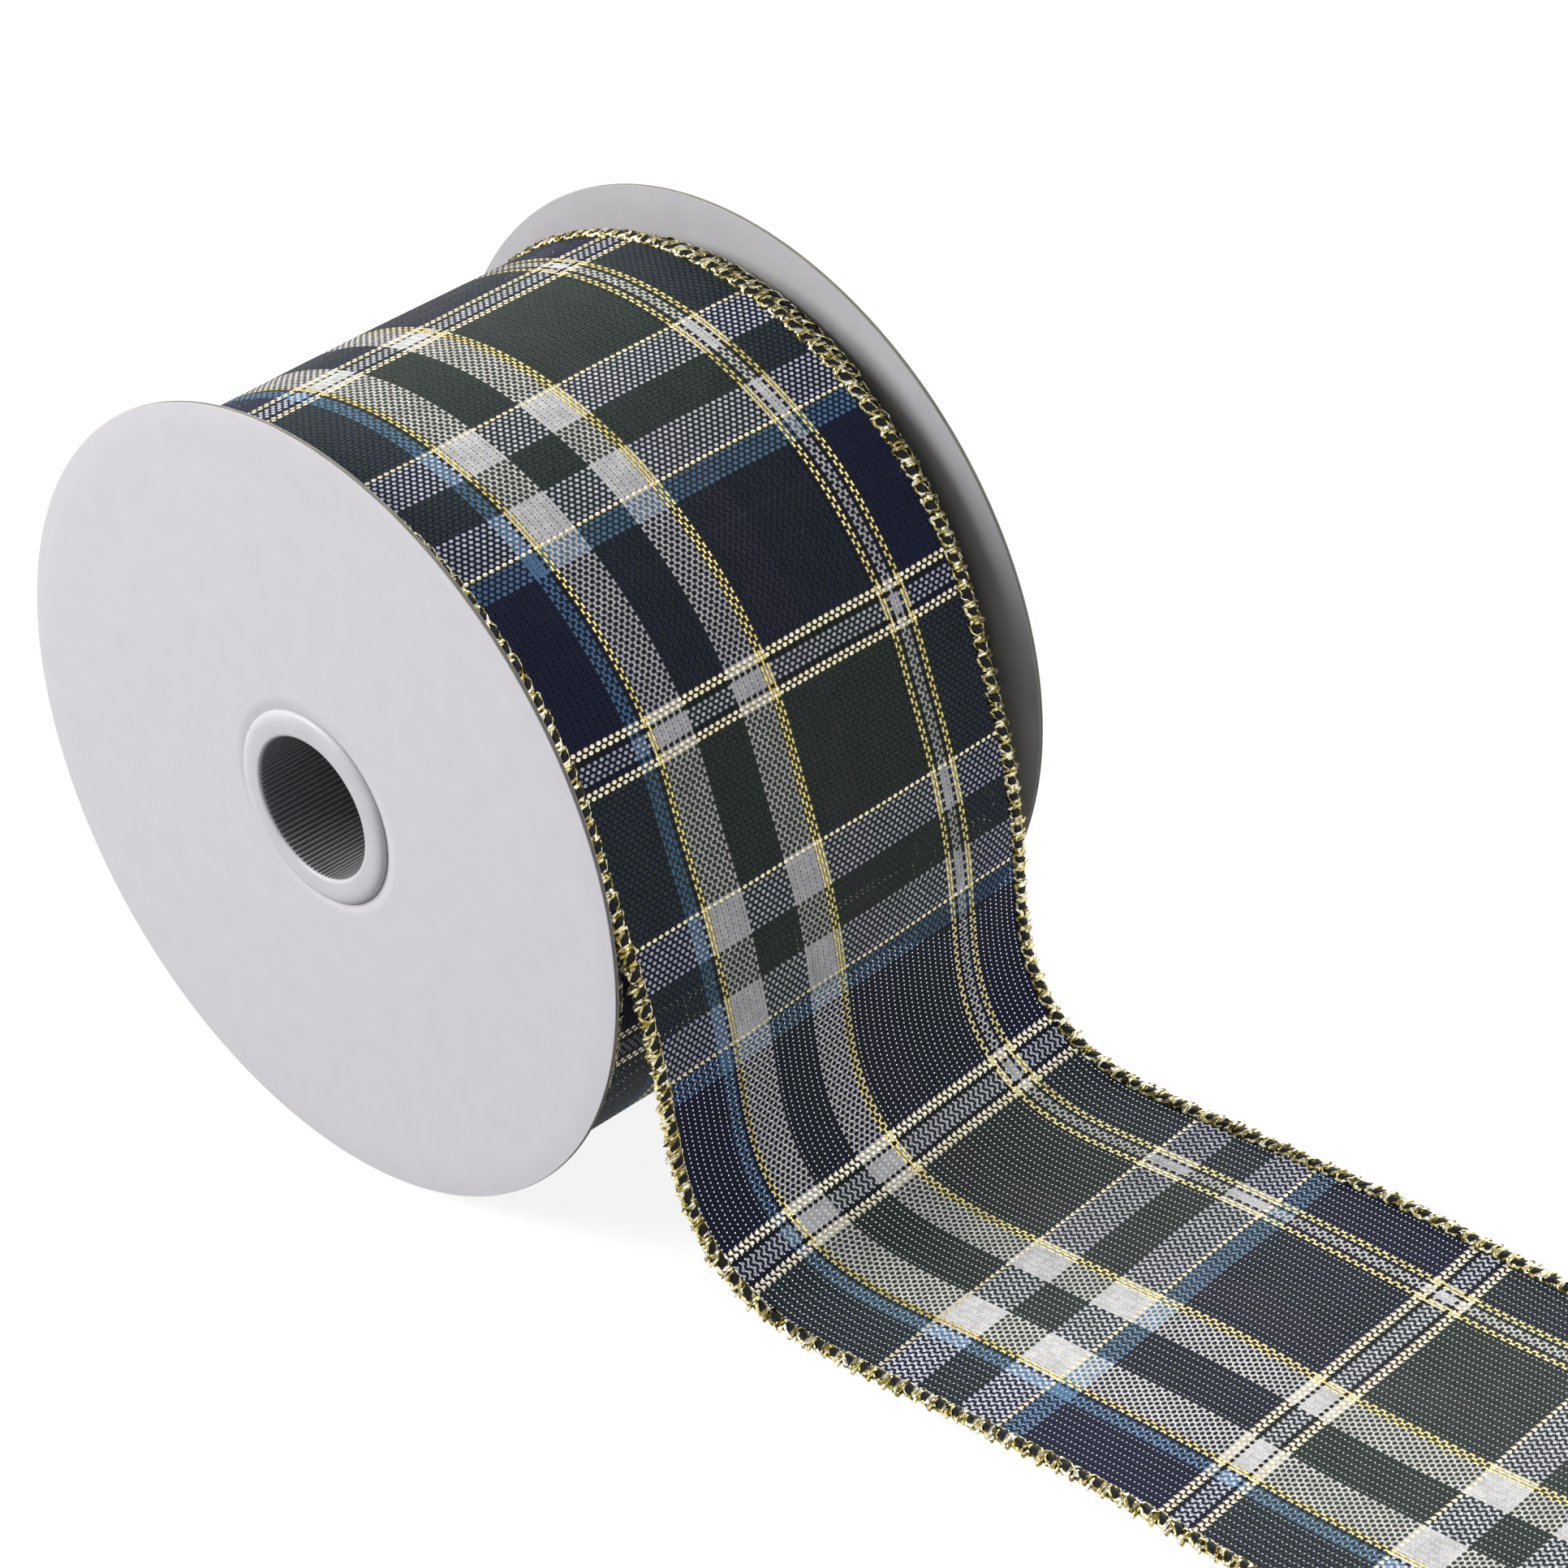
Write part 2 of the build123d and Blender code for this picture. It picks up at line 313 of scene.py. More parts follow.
def tartanMaterial(name, seeThrough):
    # Polyester taffeta, yarn dyed and woven in tartan with lurex lines: a warp-faced weave with the weft as small
    # ovals in brick rows, dull thread with painted shade between the warp threads, foil with painted highlights and
    # glints, and pinholes that let a pale ground show through
    material, tree = newMaterial(name)
    coords = addNode(tree, "UVMap", uv_map="UVMap")
    # cloth is never woven quite straight: the threads wander by a few tenths of a millimetre
    wander = addNode(tree, "TexNoise", {"Vector": coords, "Scale": textureScale(sett["wanderLength"]), "Detail": 1.0})
    centred = addNode(tree, "VectorMath", [wander.outputs["Color"], (0.5, 0.5, 0.5)], operation="SUBTRACT")
    stray = tuple(share * mm for share in sett["wander"])
    scaled = addNode(tree, "VectorMath", [centred, stray], operation="MULTIPLY")
    place = addNode(tree, "VectorMath", [coords, scaled], operation="ADD")
    axes = addNode(tree, "SeparateXYZ", [place])
    acrossMm = addNode(tree, "Math", [axes.outputs[0], 1 / mm], operation="MULTIPLY")
    alongMm = addNode(tree, "Math", [axes.outputs[1], 1 / mm], operation="MULTIPLY")
    warpCount = addNode(tree, "Math", [acrossMm, sett["warpPitch"]], operation="DIVIDE")
    weftCount = addNode(tree, "Math", [alongMm, sett["weftPitch"]], operation="DIVIDE")
    weftRow = addNode(tree, "Math", [weftCount], operation="FLOOR")
    warpColumn = addNode(tree, "Math", [warpCount], operation="FLOOR")

    # stripes of the warp by place across and of the weft by place in the repeat; alpha 0 marks lurex
    bands = {}
    columnMiddle = addNode(tree, "Math", [warpColumn, 0.5], operation="ADD")
    warpShare = sett["warpPitch"] / ribbonLine["width"]
    acrossShare = addNode(tree, "Math", [columnMiddle, warpShare], operation="MULTIPLY")
    rowMiddle = addNode(tree, "Math", [weftRow, 0.5], operation="ADD")
    rowMm = addNode(tree, "Math", [rowMiddle, sett["weftPitch"]], operation="MULTIPLY")
    inRepeat = addNode(tree, "Math", [rowMm, sett["repeat"]], operation="FLOORED_MODULO")
    alongShare = addNode(tree, "Math", [inRepeat, sett["repeat"]], operation="DIVIDE")
    for key, source, size in (("across", acrossShare, ribbonLine["width"]), ("along", alongShare, sett["repeat"])):
        bands[key] = addNode(tree, "ValToRGB", [source])
        bands[key].color_ramp.interpolation = "CONSTANT"
        fillRamp(bands[key], [
            (start / size, yarn[band], 0.0 if band == "gold" else 1.0) for start, band in sett[key]])

    # distance from the nearest weft float: brick rows, each shifted by one warp thread
    shifted = addNode(tree, "Math", [warpCount, weftRow], operation="ADD")
    fromFloat = addNode(tree, "Math", [shifted, 0.5], operation="ADD")
    folded = addNode(tree, "Math", [fromFloat, 2.0], operation="FLOORED_MODULO")
    sideStep = addNode(tree, "Math", [folded, 1.0], operation="SUBTRACT")
    sideShare = addNode(tree, "Math", [sideStep, sett["warpPitch"] / sett["dotWide"]], operation="MULTIPLY")
    weftPlace = addNode(tree, "Math", [weftCount], operation="FRACT")
    longStep = addNode(tree, "Math", [weftPlace, 0.5], operation="SUBTRACT")
    longShare = addNode(tree, "Math", [longStep, sett["weftPitch"] / sett["dotLong"]], operation="MULTIPLY")
    sideSquare = addNode(tree, "Math", [sideShare, sideShare], operation="MULTIPLY")
    ovalPlain = addNode(tree, "Math", [longShare, longShare, sideSquare], operation="MULTIPLY_ADD")
    # the flat foil spreads wider than spun thread
    spread = addNode(tree, "MapRange", {"Value": bands["along"].outputs[1], "To Min": 0.66, "To Max": 1.0})
    # dark weft is finer spun and spreads over more of the warp than the bleached weft does
    paleness = addNode(tree, "RGBToBW", [bands["along"]])
    flattened = addNode(tree, "MapRange", {
        "Value": paleness, "From Min": 0.05, "From Max": 0.5, "To Min": 0.66, "To Max": 1.0})
    ovalSized = addNode(tree, "Math", [ovalPlain, spread], operation="MULTIPLY")
    ovalSquare = addNode(tree, "Math", [ovalSized, flattened], operation="MULTIPLY")
    weftShows = addNode(tree, "MapRange", {
        "Value": ovalSquare, "From Min": 1.25, "From Max": 0.75, "To Min": 0.0, "To Max": 1.0})

    # thread colour, with each float a little lighter or darker than its neighbours
    colour = addNode(tree, "Mix", {0: weftShows, 6: bands["across"], 7: bands["along"]}, data_type="RGBA")
    plainShare = addNode(tree, "Mix", [weftShows, None, bands["across"].outputs[1], bands["along"].outputs[1]])
    lurex = addNode(tree, "Math", [1.0, plainShare], operation="SUBTRACT")
    cell = addNode(tree, "CombineXYZ", [warpColumn, weftRow])
    chance = addNode(tree, "TexWhiteNoise", {"Vector": cell}, noise_dimensions="2D")
    slub = addNode(tree, "TexNoise", {"Vector": coords, "Scale": textureScale(sett["slubSize"]), "Detail": 2.0})
    threadTone = addNode(tree, "MapRange", {"Value": chance, "To Min": 0.86, "To Max": 1.12})
    # painted glint: each foil float is drawn up to half again brighter, at random
    paintedGlint = addNode(tree, "MapRange", {"Value": chance, "To Min": 0.95, "To Max": 1.5})
    slubTone = addNode(tree, "MapRange", {
        "Value": slub, "From Min": 0.3, "From Max": 0.7, "To Min": 0.9, "To Max": 1.1})
    # painted shade: the cloth is drawn darker in the gaps between warp threads, where shade falls
    warpPlace = addNode(tree, "Math", [warpCount, math.pi], operation="MULTIPLY")
    warpWave = addNode(tree, "Math", [warpPlace], operation="SINE")
    warpRound = addNode(tree, "Math", [warpWave], operation="ABSOLUTE")
    grooveShade = addNode(tree, "MapRange", {"Value": warpRound, "From Max": 0.8, "To Min": 0.78, "To Max": 1.04})
    # thread tone and yarn slubs are the cloth's own colour; the grooves are painted shade
    toneAndGrooveShade = addNode(tree, "Math", [threadTone, slubTone], operation="MULTIPLY")
    toneAndGrooveShade = addNode(tree, "Math", [toneAndGrooveShade, grooveShade], operation="MULTIPLY")
    dyedWithGrooveShade = addNode(tree, "VectorMath", {0: colour.outputs[2], "Scale": toneAndGrooveShade}, operation="SCALE")

    # threads stand proud of the gaps between them; the foil's colour follows that height, as a painted highlight on
    # its crest and painted olive shade at its sides
    ovalHeight = addNode(tree, "MapRange", {"Value": ovalSquare, "From Min": 1.4, "From Max": 0.0})
    fromWeft = addNode(tree, "MapRange", {"Value": ovalSquare, "From Min": 0.8, "From Max": 1.5})
    warpHump = addNode(tree, "Math", [warpRound, fromWeft], operation="MULTIPLY")
    height = addNode(tree, "Mix", [weftShows, None, warpHump, ovalHeight])
    weftFoilPaintedLight = addNode(tree, "ValToRGB", [height])
    fillRamp(weftFoilPaintedLight, [(0.08, "#33280c"), (0.25, "#a88632"), (0.45, "#f3da8c"), (0.65, "#fffae0")])
    warpFoilPaintedLight = addNode(tree, "ValToRGB", [height])
    fillRamp(warpFoilPaintedLight, [(0.10, "#2a2006"), (0.40, "#a5801c"), (0.68, "#e8c744"), (0.92, "#fff3a6")])
    foil = addNode(tree, "Mix", {0: weftShows, 6: warpFoilPaintedLight, 7: weftFoilPaintedLight}, data_type="RGBA").outputs[2]
    foilPaintedGlint = addNode(tree, "VectorMath", {0: foil, "Scale": paintedGlint}, operation="SCALE")
    shaded = addNode(tree, "Mix", {0: lurex, 6: dyedWithGrooveShade, 7: foilPaintedGlint}, data_type="RGBA").outputs[2]
    bump = addNode(tree, "Bump", {"Height": height, "Strength": 0.6, "Distance": 0.09 * mm})

    rough = addNode(tree, "MapRange", {"Value": lurex, "To Min": 0.72, "To Max": 0.34})
    metal = addNode(tree, "Math", [lurex, 0.45], operation="MULTIPLY")
    surface = addNode(tree, "BsdfPrincipled", {
        "Base Color": shaded, "Roughness": rough, "Metallic": metal, "Normal": bump, "IOR": 1.5,
        "Specular IOR Level": 0.16, "Sheen Weight": 0.02, "Sheen Roughness": 0.4})
    if seeThrough:
        # the warp runs in pairs, so there is a gap at every second thread and at every weft
        corner = []
        for count, pitch, half in ((warpCount, sett["warpPitch"], 1.0), (weftCount, sett["weftPitch"], 0.5)):
            near = addNode(tree, "Math", [count, half], operation="PINGPONG")
            step = addNode(tree, "Math", [near, pitch], operation="MULTIPLY")
            corner.append(addNode(tree, "Math", [step, step], operation="MULTIPLY"))
        fromCorner = addNode(tree, "Math", [corner[0], corner[1]], operation="ADD")
        solid = addNode(tree, "Math", [fromCorner, sett["pinhole"] ** 2], operation="GREATER_THAN")
        tree.links.new(solid.outputs[0], surface.inputs["Alpha"])
    addNode(tree, "OutputMaterial", {"Surface": surface})
    return material


def lurexMaterial():
    # Lurex: slit polyester film, metallised and dyed gold; its flat facets carry painted glints and painted olive
    # shade between them
    material, tree = newMaterial("goldLurexFilm")
    coords = addNode(tree, "TexCoord").outputs["Object"]
    # facets as wide as the film; their colours, near white to dark olive, are painted glints and painted shade
    facets = addNode(tree, "TexVoronoi", {"Vector": coords, "Scale": textureScale(0.5)})
    tones = addNode(tree, "ValToRGB", [facets.outputs["Color"]])
    fillRamp(tones, [(0.15, "#3b3415"), (0.38, "#a8954a"), (0.56, "#efe2a2"), (0.78, "#fffbe2")])
    rough = addNode(tree, "MapRange", {"Value": facets.outputs["Color"], "To Min": 0.2, "To Max": 0.38})
    bump = addNode(tree, "Bump", {"Height": facets, "Strength": 0.5, "Distance": 0.1 * mm})
    surface = addNode(tree, "BsdfPrincipled", {
        "Base Color": tones, "Metallic": 0.8, "Roughness": rough, "Normal": bump})
    addNode(tree, "OutputMaterial", {"Surface": surface})
    return material


def blackThreadMaterial():
    # Textured polyester overlock thread, dyed black: matt, with a fine ply
    material, tree = newMaterial("blackOverlockThread")
    coords = addNode(tree, "TexCoord").outputs["Object"]
    ply = addNode(tree, "TexNoise", {"Vector": coords, "Scale": textureScale(0.154), "Detail": 2.0})
    tones = addNode(tree, "ValToRGB", [ply])
    fillRamp(tones, [(0.35, "#060709"), (0.7, "#191a1e")])
    bump = addNode(tree, "Bump", {"Height": ply, "Strength": 0.6, "Distance": 0.08 * mm})
    surface = addNode(tree, "BsdfPrincipled", {
        "Base Color": tones, "Roughness": 0.7, "Normal": bump, "Specular IOR Level": 0.3, "IOR": 1.5})
    addNode(tree, "OutputMaterial", {"Surface": surface})
    return material


def packedEdgingMaterial():
    # The same overlocked edge pressed flat inside the roll: gold film wound over black thread, seen as slanting bars
    material, tree = newMaterial("packedOverlockedEdge")
    coords = addNode(tree, "UVMap", uv_map="UVMap")
    axes = addNode(tree, "SeparateXYZ", [coords])
    # u is turns round the bead, v metres along it; one bar of film each 2.1 mm
    along = addNode(tree, "Math", [axes.outputs[1], textureScale(2.1)], operation="MULTIPLY")
    slant = addNode(tree, "Math", [along, axes.outputs[0]], operation="ADD")
    wave = addNode(tree, "Math", [slant, 0.5], operation="PINGPONG")
    bars = addNode(tree, "MapRange", {"Value": wave, "From Min": 0.20, "From Max": 0.26})
    grain = addNode(tree, "TexNoise", {"Vector": coords, "Scale": textureScale(1.11), "Detail": 1.0})
    film = addNode(tree, "ValToRGB", [grain])
    fillRamp(film, [(0.3, "#86702f"), (0.7, "#e6d083")])
    colour = addNode(tree, "Mix", {0: bars, 6: hexColour("#121318"), 7: film}, data_type="RGBA")
    rough = addNode(tree, "MapRange", {"Value": bars, "To Min": 0.8, "To Max": 0.35})
    surface = addNode(tree, "BsdfPrincipled", {"Base Color": colour.outputs[2], "Metallic": bars, "Roughness": rough})
    addNode(tree, "OutputMaterial", {"Surface": surface})
    return material


def paperMaterial(name, dark, light):
    # White lined board facing: uncoated bleached paper, even and matt, with soft formation and a rare dark speck
    material, tree = newMaterial(name)
    coords = addNode(tree, "TexCoord").outputs["Object"]
    # fibres are drawn a few times as coarse as real ones, so that they show; flocs are their real size
    fibres = addNode(tree, "TexNoise", {"Vector": coords, "Scale": textureScale(0.1667), "Detail": 3.0})
    flocs = addNode(tree, "TexNoise", {"Vector": coords, "Scale": textureScale(3.85), "Detail": 2.0})
    mixed = addNode(tree, "Math", [fibres, 0.5, flocs], operation="MULTIPLY_ADD")
    tones = addNode(tree, "ValToRGB", [mixed])
    fillRamp(tones, [(0.4, dark), (0.92, light)])
    # a speck less than 0.8 mm across in one cell in fourteen
    cells = addNode(tree, "TexVoronoi", {"Vector": coords, "Scale": textureScale(10.526)})
    near = addNode(tree, "Math", [cells, 0.035], operation="LESS_THAN")
    rare = addNode(tree, "SeparateColor", [cells.outputs["Color"]])
    few = addNode(tree, "Math", [rare, 0.93], operation="GREATER_THAN")
    speck = addNode(tree, "Math", [near, few], operation="MULTIPLY")
    speckShare = addNode(tree, "Math", [speck, 0.55], operation="MULTIPLY")
    colour = addNode(tree, "Mix", {0: speckShare, 6: tones, 7: hexColour("#77706a")}, data_type="RGBA")
    bump = addNode(tree, "Bump", {"Height": mixed, "Strength": 0.25, "Distance": 0.05 * mm})
    surface = addNode(tree, "BsdfPrincipled", {
        "Base Color": colour.outputs[2], "Roughness": 0.82, "Normal": bump, "IOR": 1.47})
    addNode(tree, "OutputMaterial", {"Surface": surface})
    return material


def boardMaterial(name, dark, light):
    # Recycled paperboard, die cut: a warm grey edge of pressed layers with loose fibre
    material, tree = newMaterial(name)
    coords = addNode(tree, "TexCoord").outputs["Object"]
    # layers of 0.125 mm through the thickness, drawn long round the edge
    layerScale = (textureScale(2.0), textureScale(0.125), textureScale(2.0))
    stretched = addNode(tree, "VectorMath", [coords, layerScale], operation="MULTIPLY")
    layers = addNode(tree, "TexNoise", {"Vector": stretched, "Scale": 1.0, "Detail": 3.0})
    tones = addNode(tree, "ValToRGB", [layers])
    fillRamp(tones, [(0.3, dark), (0.7, light)])
    bump = addNode(tree, "Bump", {"Height": layers, "Strength": 0.7, "Distance": 0.1 * mm})
    surface = addNode(tree, "BsdfPrincipled", {"Base Color": tones, "Roughness": 0.9, "Normal": bump, "IOR": 1.47})
    addNode(tree, "OutputMaterial", {"Surface": surface})
    return material


# Hub halves: sizes in mm of the flat lip, its rounded mouth and the barrel with fine lengthwise flutes
hub = {
    "boreRadius": 9.2, "lapRadius": 9.8, "barrelRadius": 10.6, "lipRadius": 12.5, "lipBack": 34.8,
    "lipFace": -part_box("near_hub")[0].y / mm,
    "mouthRadius": 0.5, "lapEnd": 4.0, "segments": 720,
    "flutes": 90, "fluteDepth": 0.36, "fluteStart": 0.3, "fluteFade": 0.4,
    "rim": [(1.5, 0.0), (0.9, 0.05), (0.4, 0.20), (0.1, 0.42), (0.0, 0.60)],  # thins to its edge: (inward, back)
    "shadeStart": 0.48, "shadeEnd": 0.75, "shadeSlant": 1.8,  # where the painted shade on the bore's wall begins and ends, behind the lip's face
    "shadeReach": 0.55, "mouthDepth": 0.35,
}


def plasticMaterial():
    # Natural polypropylene, injection moulded: milky and a little translucent, with a soft satin surface
    material, tree = newMaterial("naturalPolypropylene")
    coords = addNode(tree, "TexCoord").outputs["Object"]
    # the mould's texture and the clouds of the flow
    grain = addNode(tree, "TexNoise", {"Vector": coords, "Scale": textureScale(0.2), "Detail": 2.0})
    clouds = addNode(tree, "TexNoise", {"Vector": coords, "Scale": textureScale(5.0), "Detail": 1.0})
    tones = addNode(tree, "ValToRGB", [clouds])
    fillRamp(tones, [(0.3, "#d8d8de"), (0.7, "#dfdfe4")])
    # painted shade: the bore's wall behind the mouth is drawn darker, where shade falls, and darkest in the flutes'
    # bottoms
    axes = addNode(tree, "SeparateXYZ", [coords])
    side = addNode(tree, "Math", [axes.outputs[1]], operation="ABSOLUTE")
    ring = addNode(tree, "VectorMath", [coords, (1 / mm, 0.0, 1 / mm)], operation="MULTIPLY")
    fromAxis = addNode(tree, "VectorMath", [ring], operation="LENGTH").outputs["Value"]
    intoFlute = addNode(tree, "MapRange", {
        "Value": fromAxis, "From Min": hub["boreRadius"], "From Max": hub["boreRadius"] + hub["fluteDepth"]})
    boreShadeTones = addNode(tree, "ValToRGB", [intoFlute])
    fillRamp(boreShadeTones, [(0.0, "#aaacaf"), (0.6, "#8f9094"), (1.0, "#7b7c80")])
    slant = hub["shadeSlant"] * mm
    beyond = addNode(tree, "Math", [fromAxis, -slant, slant * hub["boreRadius"]], operation="MULTIPLY_ADD")
    level = addNode(tree, "Math", [side, beyond], operation="ADD")
    depth = addNode(tree, "MapRange", {
        "Value": level, "From Min": (hub["lipFace"] - hub["shadeStart"]) * mm,
        "From Max": (hub["lipFace"] - hub["shadeEnd"]) * mm})
    inBore = addNode(tree, "Math", [fromAxis, hub["boreRadius"] + hub["shadeReach"]], operation="LESS_THAN")
    mouthEnd = (hub["lipFace"] - hub["mouthDepth"]) * mm
    behindMouth = addNode(tree, "Math", [side, mouthEnd], operation="LESS_THAN")
    within = addNode(tree, "Math", [inBore, behindMouth], operation="MULTIPLY")
    boreShadeShare = addNode(tree, "Math", [depth, within], operation="MULTIPLY")
    tones = addNode(tree, "Mix", {0: boreShadeShare, 6: tones, 7: boreShadeTones}, data_type="RGBA").outputs[2]
    rough = addNode(tree, "MapRange", {"Value": grain, "To Min": 0.32, "To Max": 0.48})
    bump = addNode(tree, "Bump", {"Height": grain, "Strength": 0.12, "Distance": 0.05 * mm})
    surface = addNode(tree, "BsdfPrincipled", {
        "Base Color": tones, "Roughness": rough, "Normal": bump, "IOR": 1.49, "Subsurface Weight": 0.12,
        "Subsurface Radius": (0.5 * mm, 0.5 * mm, 0.5 * mm), "Subsurface Scale": 1.0})
    addNode(tree, "OutputMaterial", {"Surface": surface})
    return material


def wireMaterial():
    # Annealed steel florist wire, drawn: dull grey with fine drawing lines along it
    material, tree = newMaterial("annealedSteelWire")
    coords = addNode(tree, "TexCoord").outputs["Object"]
    lines = addNode(tree, "TexNoise", {"Vector": coords, "Scale": textureScale(0.111), "Detail": 1.0})
    tones = addNode(tree, "ValToRGB", [lines])
    fillRamp(tones, [(0.3, "#77787a"), (0.7, "#a3a4a6")])
    surface = addNode(tree, "BsdfPrincipled", {"Base Color": tones, "Metallic": 1.0, "Roughness": 0.4})
    addNode(tree, "OutputMaterial", {"Surface": surface})
    return material


def tapeMaterial():
    # Clear polypropylene packing tape: a thin glossy film, faintly amber where the gum lies thicker
    material, tree = newMaterial("clearPackingTape")
    coords = addNode(tree, "TexCoord").outputs["Object"]
    gum = addNode(tree, "TexNoise", {"Vector": coords, "Scale": textureScale(5.55), "Detail": 2.0})
    tones = addNode(tree, "ValToRGB", [gum])
    fillRamp(tones, [(0.3, "#e8e2cf"), (0.7, "#d9cda8")])
    surface = addNode(tree, "BsdfPrincipled", {
        "Base Color": tones, "Roughness": 0.15, "IOR": 1.49, "Transmission Weight": 0.7})
    addNode(tree, "OutputMaterial", {"Surface": surface})
    return material


print("materials")
tartanOpen = tartanMaterial("tartanTaffeta", True)
tartanRolled = tartanMaterial("tartanTaffetaRolled", False)
lurex = lurexMaterial()
blackThread = blackThreadMaterial()
packedEdging = packedEdgingMaterial()
facingPaper = paperMaterial("bleachedFacingPaper", "#e5e4eb", "#eae9ef")
innerPaperPaintedShade = paperMaterial("backingPaperPaintedShade", "#c3c3c9", "#cbcbd0")  # a darker copy of the facing paper: painted shade on the faces towards the ribbon, which the roll keeps in shade
greyBoard = boardMaterial("greyChipboard", "#86816f", "#aaa493")
coreBoard = boardMaterial("spiralWoundCoreBoard", "#8f7553", "#b79a74")
plastic = plasticMaterial()
steelWire = wireMaterial()
clearTape = tapeMaterial()

# Flanges: board with a white paper on each face, the papers' edges pressed down over the die-cut rim
print("flanges")
flange = {
    "boardRound": 0.12, "paperRound": 0.06, "paperInset": 0.04, "segments": 384,
    "warp": 0.18, "warpFrom": 20.0,  # the flat middle, held by the hub, ends at this radius
    "longest": 4.0,  # between two points of the outline
}


def warpOutward(sign):
    # the rim stands a little further out here and there, as board does
    def ripple(radius, along, angle):
        share = np.clip((radius - flange["warpFrom"]) / (flangeRadius - flange["warpFrom"]), 0, 1) ** 2
        lift = flange["warp"] * (0.5 + 0.35 * np.sin(2 * angle + 0.7) + 0.15 * np.sin(3 * angle + 2.0))
        return radius, along + sign * share * lift
    return ripple


for side, sign in (("near", -1), ("far", 1)):
    for layer, label, material, slotName in (("inner_paper", "InnerPaper", innerPaperPaintedShade, "white_paper"),
                                             ("board", "Board", greyBoard, "grey_board"),
                                             ("outer_paper", "OuterPaper", facingPaper, "white_paper")):
        node = f"{side}_flange_{layer}"
        low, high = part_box(node)
        outer = (high.z - low.z) / 2 / mm
        lowY, highY = low.y / mm, high.y / mm
        if layer == "board":
            sizes = [0, flange["boardRound"], flange["boardRound"], 0]
        else:
            # a paper is pressed round on its open face only
            outer -= flange["paperInset"]
            openFirst = (sign < 0) == (layer == "outer_paper")
            sizes = [0, flange["paperRound"], 0, 0] if openFirst else [0, 0, flange["paperRound"], 0]
        corners = [(hub["barrelRadius"], lowY), (outer, lowY), (outer, highY), (hub["barrelRadius"], highY)]
        outline = subdivided(rounded(corners, sizes), flange["longest"])
        piece = revolved(f"{side}Flange{label}", material, outline, flange["segments"], warpOutward(sign))
        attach(piece, "spool")
        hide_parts(node)

# Hub halves, each a lip and a barrel that laps the other in the middle
print("hub")


def fluted(sign):
    # grooves in the bore's wall that start behind the mouth and fade in
    def ripple(radius, along, angle):
        depth = hub["lipFace"] - np.abs(along)
        onWall = (np.abs(radius - hub["boreRadius"]) < 0.02) * (np.sign(along) != -sign)
        fade = smooth((depth - hub["fluteStart"]) / hub["fluteFade"]) * onWall
        groove = 0.5 - 0.5 * np.cos(hub["flutes"] * angle)
        return radius + fade * hub["fluteDepth"] * groove ** 2, along
    return ripple


mouth = [(hub["boreRadius"] + hub["mouthRadius"] * (1 - math.cos(t)),
          hub["lipFace"] - hub["mouthRadius"] * (1 - math.sin(t))) for t in np.linspace(0, math.pi / 2, 9)]
rim = [(hub["lipRadius"] - inward, hub["lipFace"] - drop) for inward, drop in hub["rim"]]
backOfLip = [(hub["lipRadius"], hub["lipBack"]), (hub["barrelRadius"], hub["lipBack"])]
lap = [(hub["barrelRadius"], -hub["lapEnd"]), (hub["lapRadius"], -hub["lapEnd"]),
       (hub["lapRadius"], hub["lapEnd"]), (hub["boreRadius"], hub["lapEnd"])]
for side, sign in (("near", -1), ("far", 1)):
    outline = [np.array((radius, sign * y)) for radius, y in mouth + rim + backOfLip] + [np.array(p) for p in lap]
    piece = revolved(f"{side}Hub", plastic, subdivided(outline, 1.5), hub["segments"], fluted(sign))
    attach(piece, "spool")
    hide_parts(f"{side}_hub")

# Core tube and starting tape, out of sight, keep their CAD shapes
for node, material in (("core_tube", coreBoard), ("start_tape", clearTape)):
    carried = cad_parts[node]
    carried.data.materials.clear()
    carried.data.materials.append(material)

# The lead: outermost turn, fall, bend and tail, one strip of cloth between two overlocked edges
print("lead ribbon")
cloth = {"rowStep": 0.8, "columns": 36, "underEdging": 0.4}  # mm that the cloth runs under each edging
clothEdge = halfWidth - ribbonLine["edgingWidth"] + cloth["underEdging"]
leadStart = -math.radians(ribbonLine["wrap"]) * ribbonLine["rollRadius"]
leadEnd = ribbonLine["length"]


def stripPoints(s, w):
    # grid of points of the lead at distances s and offsets w across, in mm
    centre, along, across, normal = leadFrame(s)
    lift = clothLift(s[:, None], w[None, :])
    return centre[:, None] + across[:, None] * w[None, :, None] + normal[:, None] * lift[..., None]


leadRows = np.linspace(leadStart, leadEnd, int((leadEnd - leadStart) / cloth["rowStep"]))
leadColumns = np.linspace(-clothEdge, clothEdge, cloth["columns"])
leadU, leadV = np.broadcast_arrays(leadColumns[None, :] + halfWidth, leadRows[:, None] + ribbonLine["firstStripe"])
leadUv = np.stack([leadU, leadV], -1) * mm
leadRibbon = gridMesh("leadRibbon", tartanOpen, stripPoints(leadRows, leadColumns) * mm, leadUv)
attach(leadRibbon, "ribbon_lead")
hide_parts("lead_ribbon")

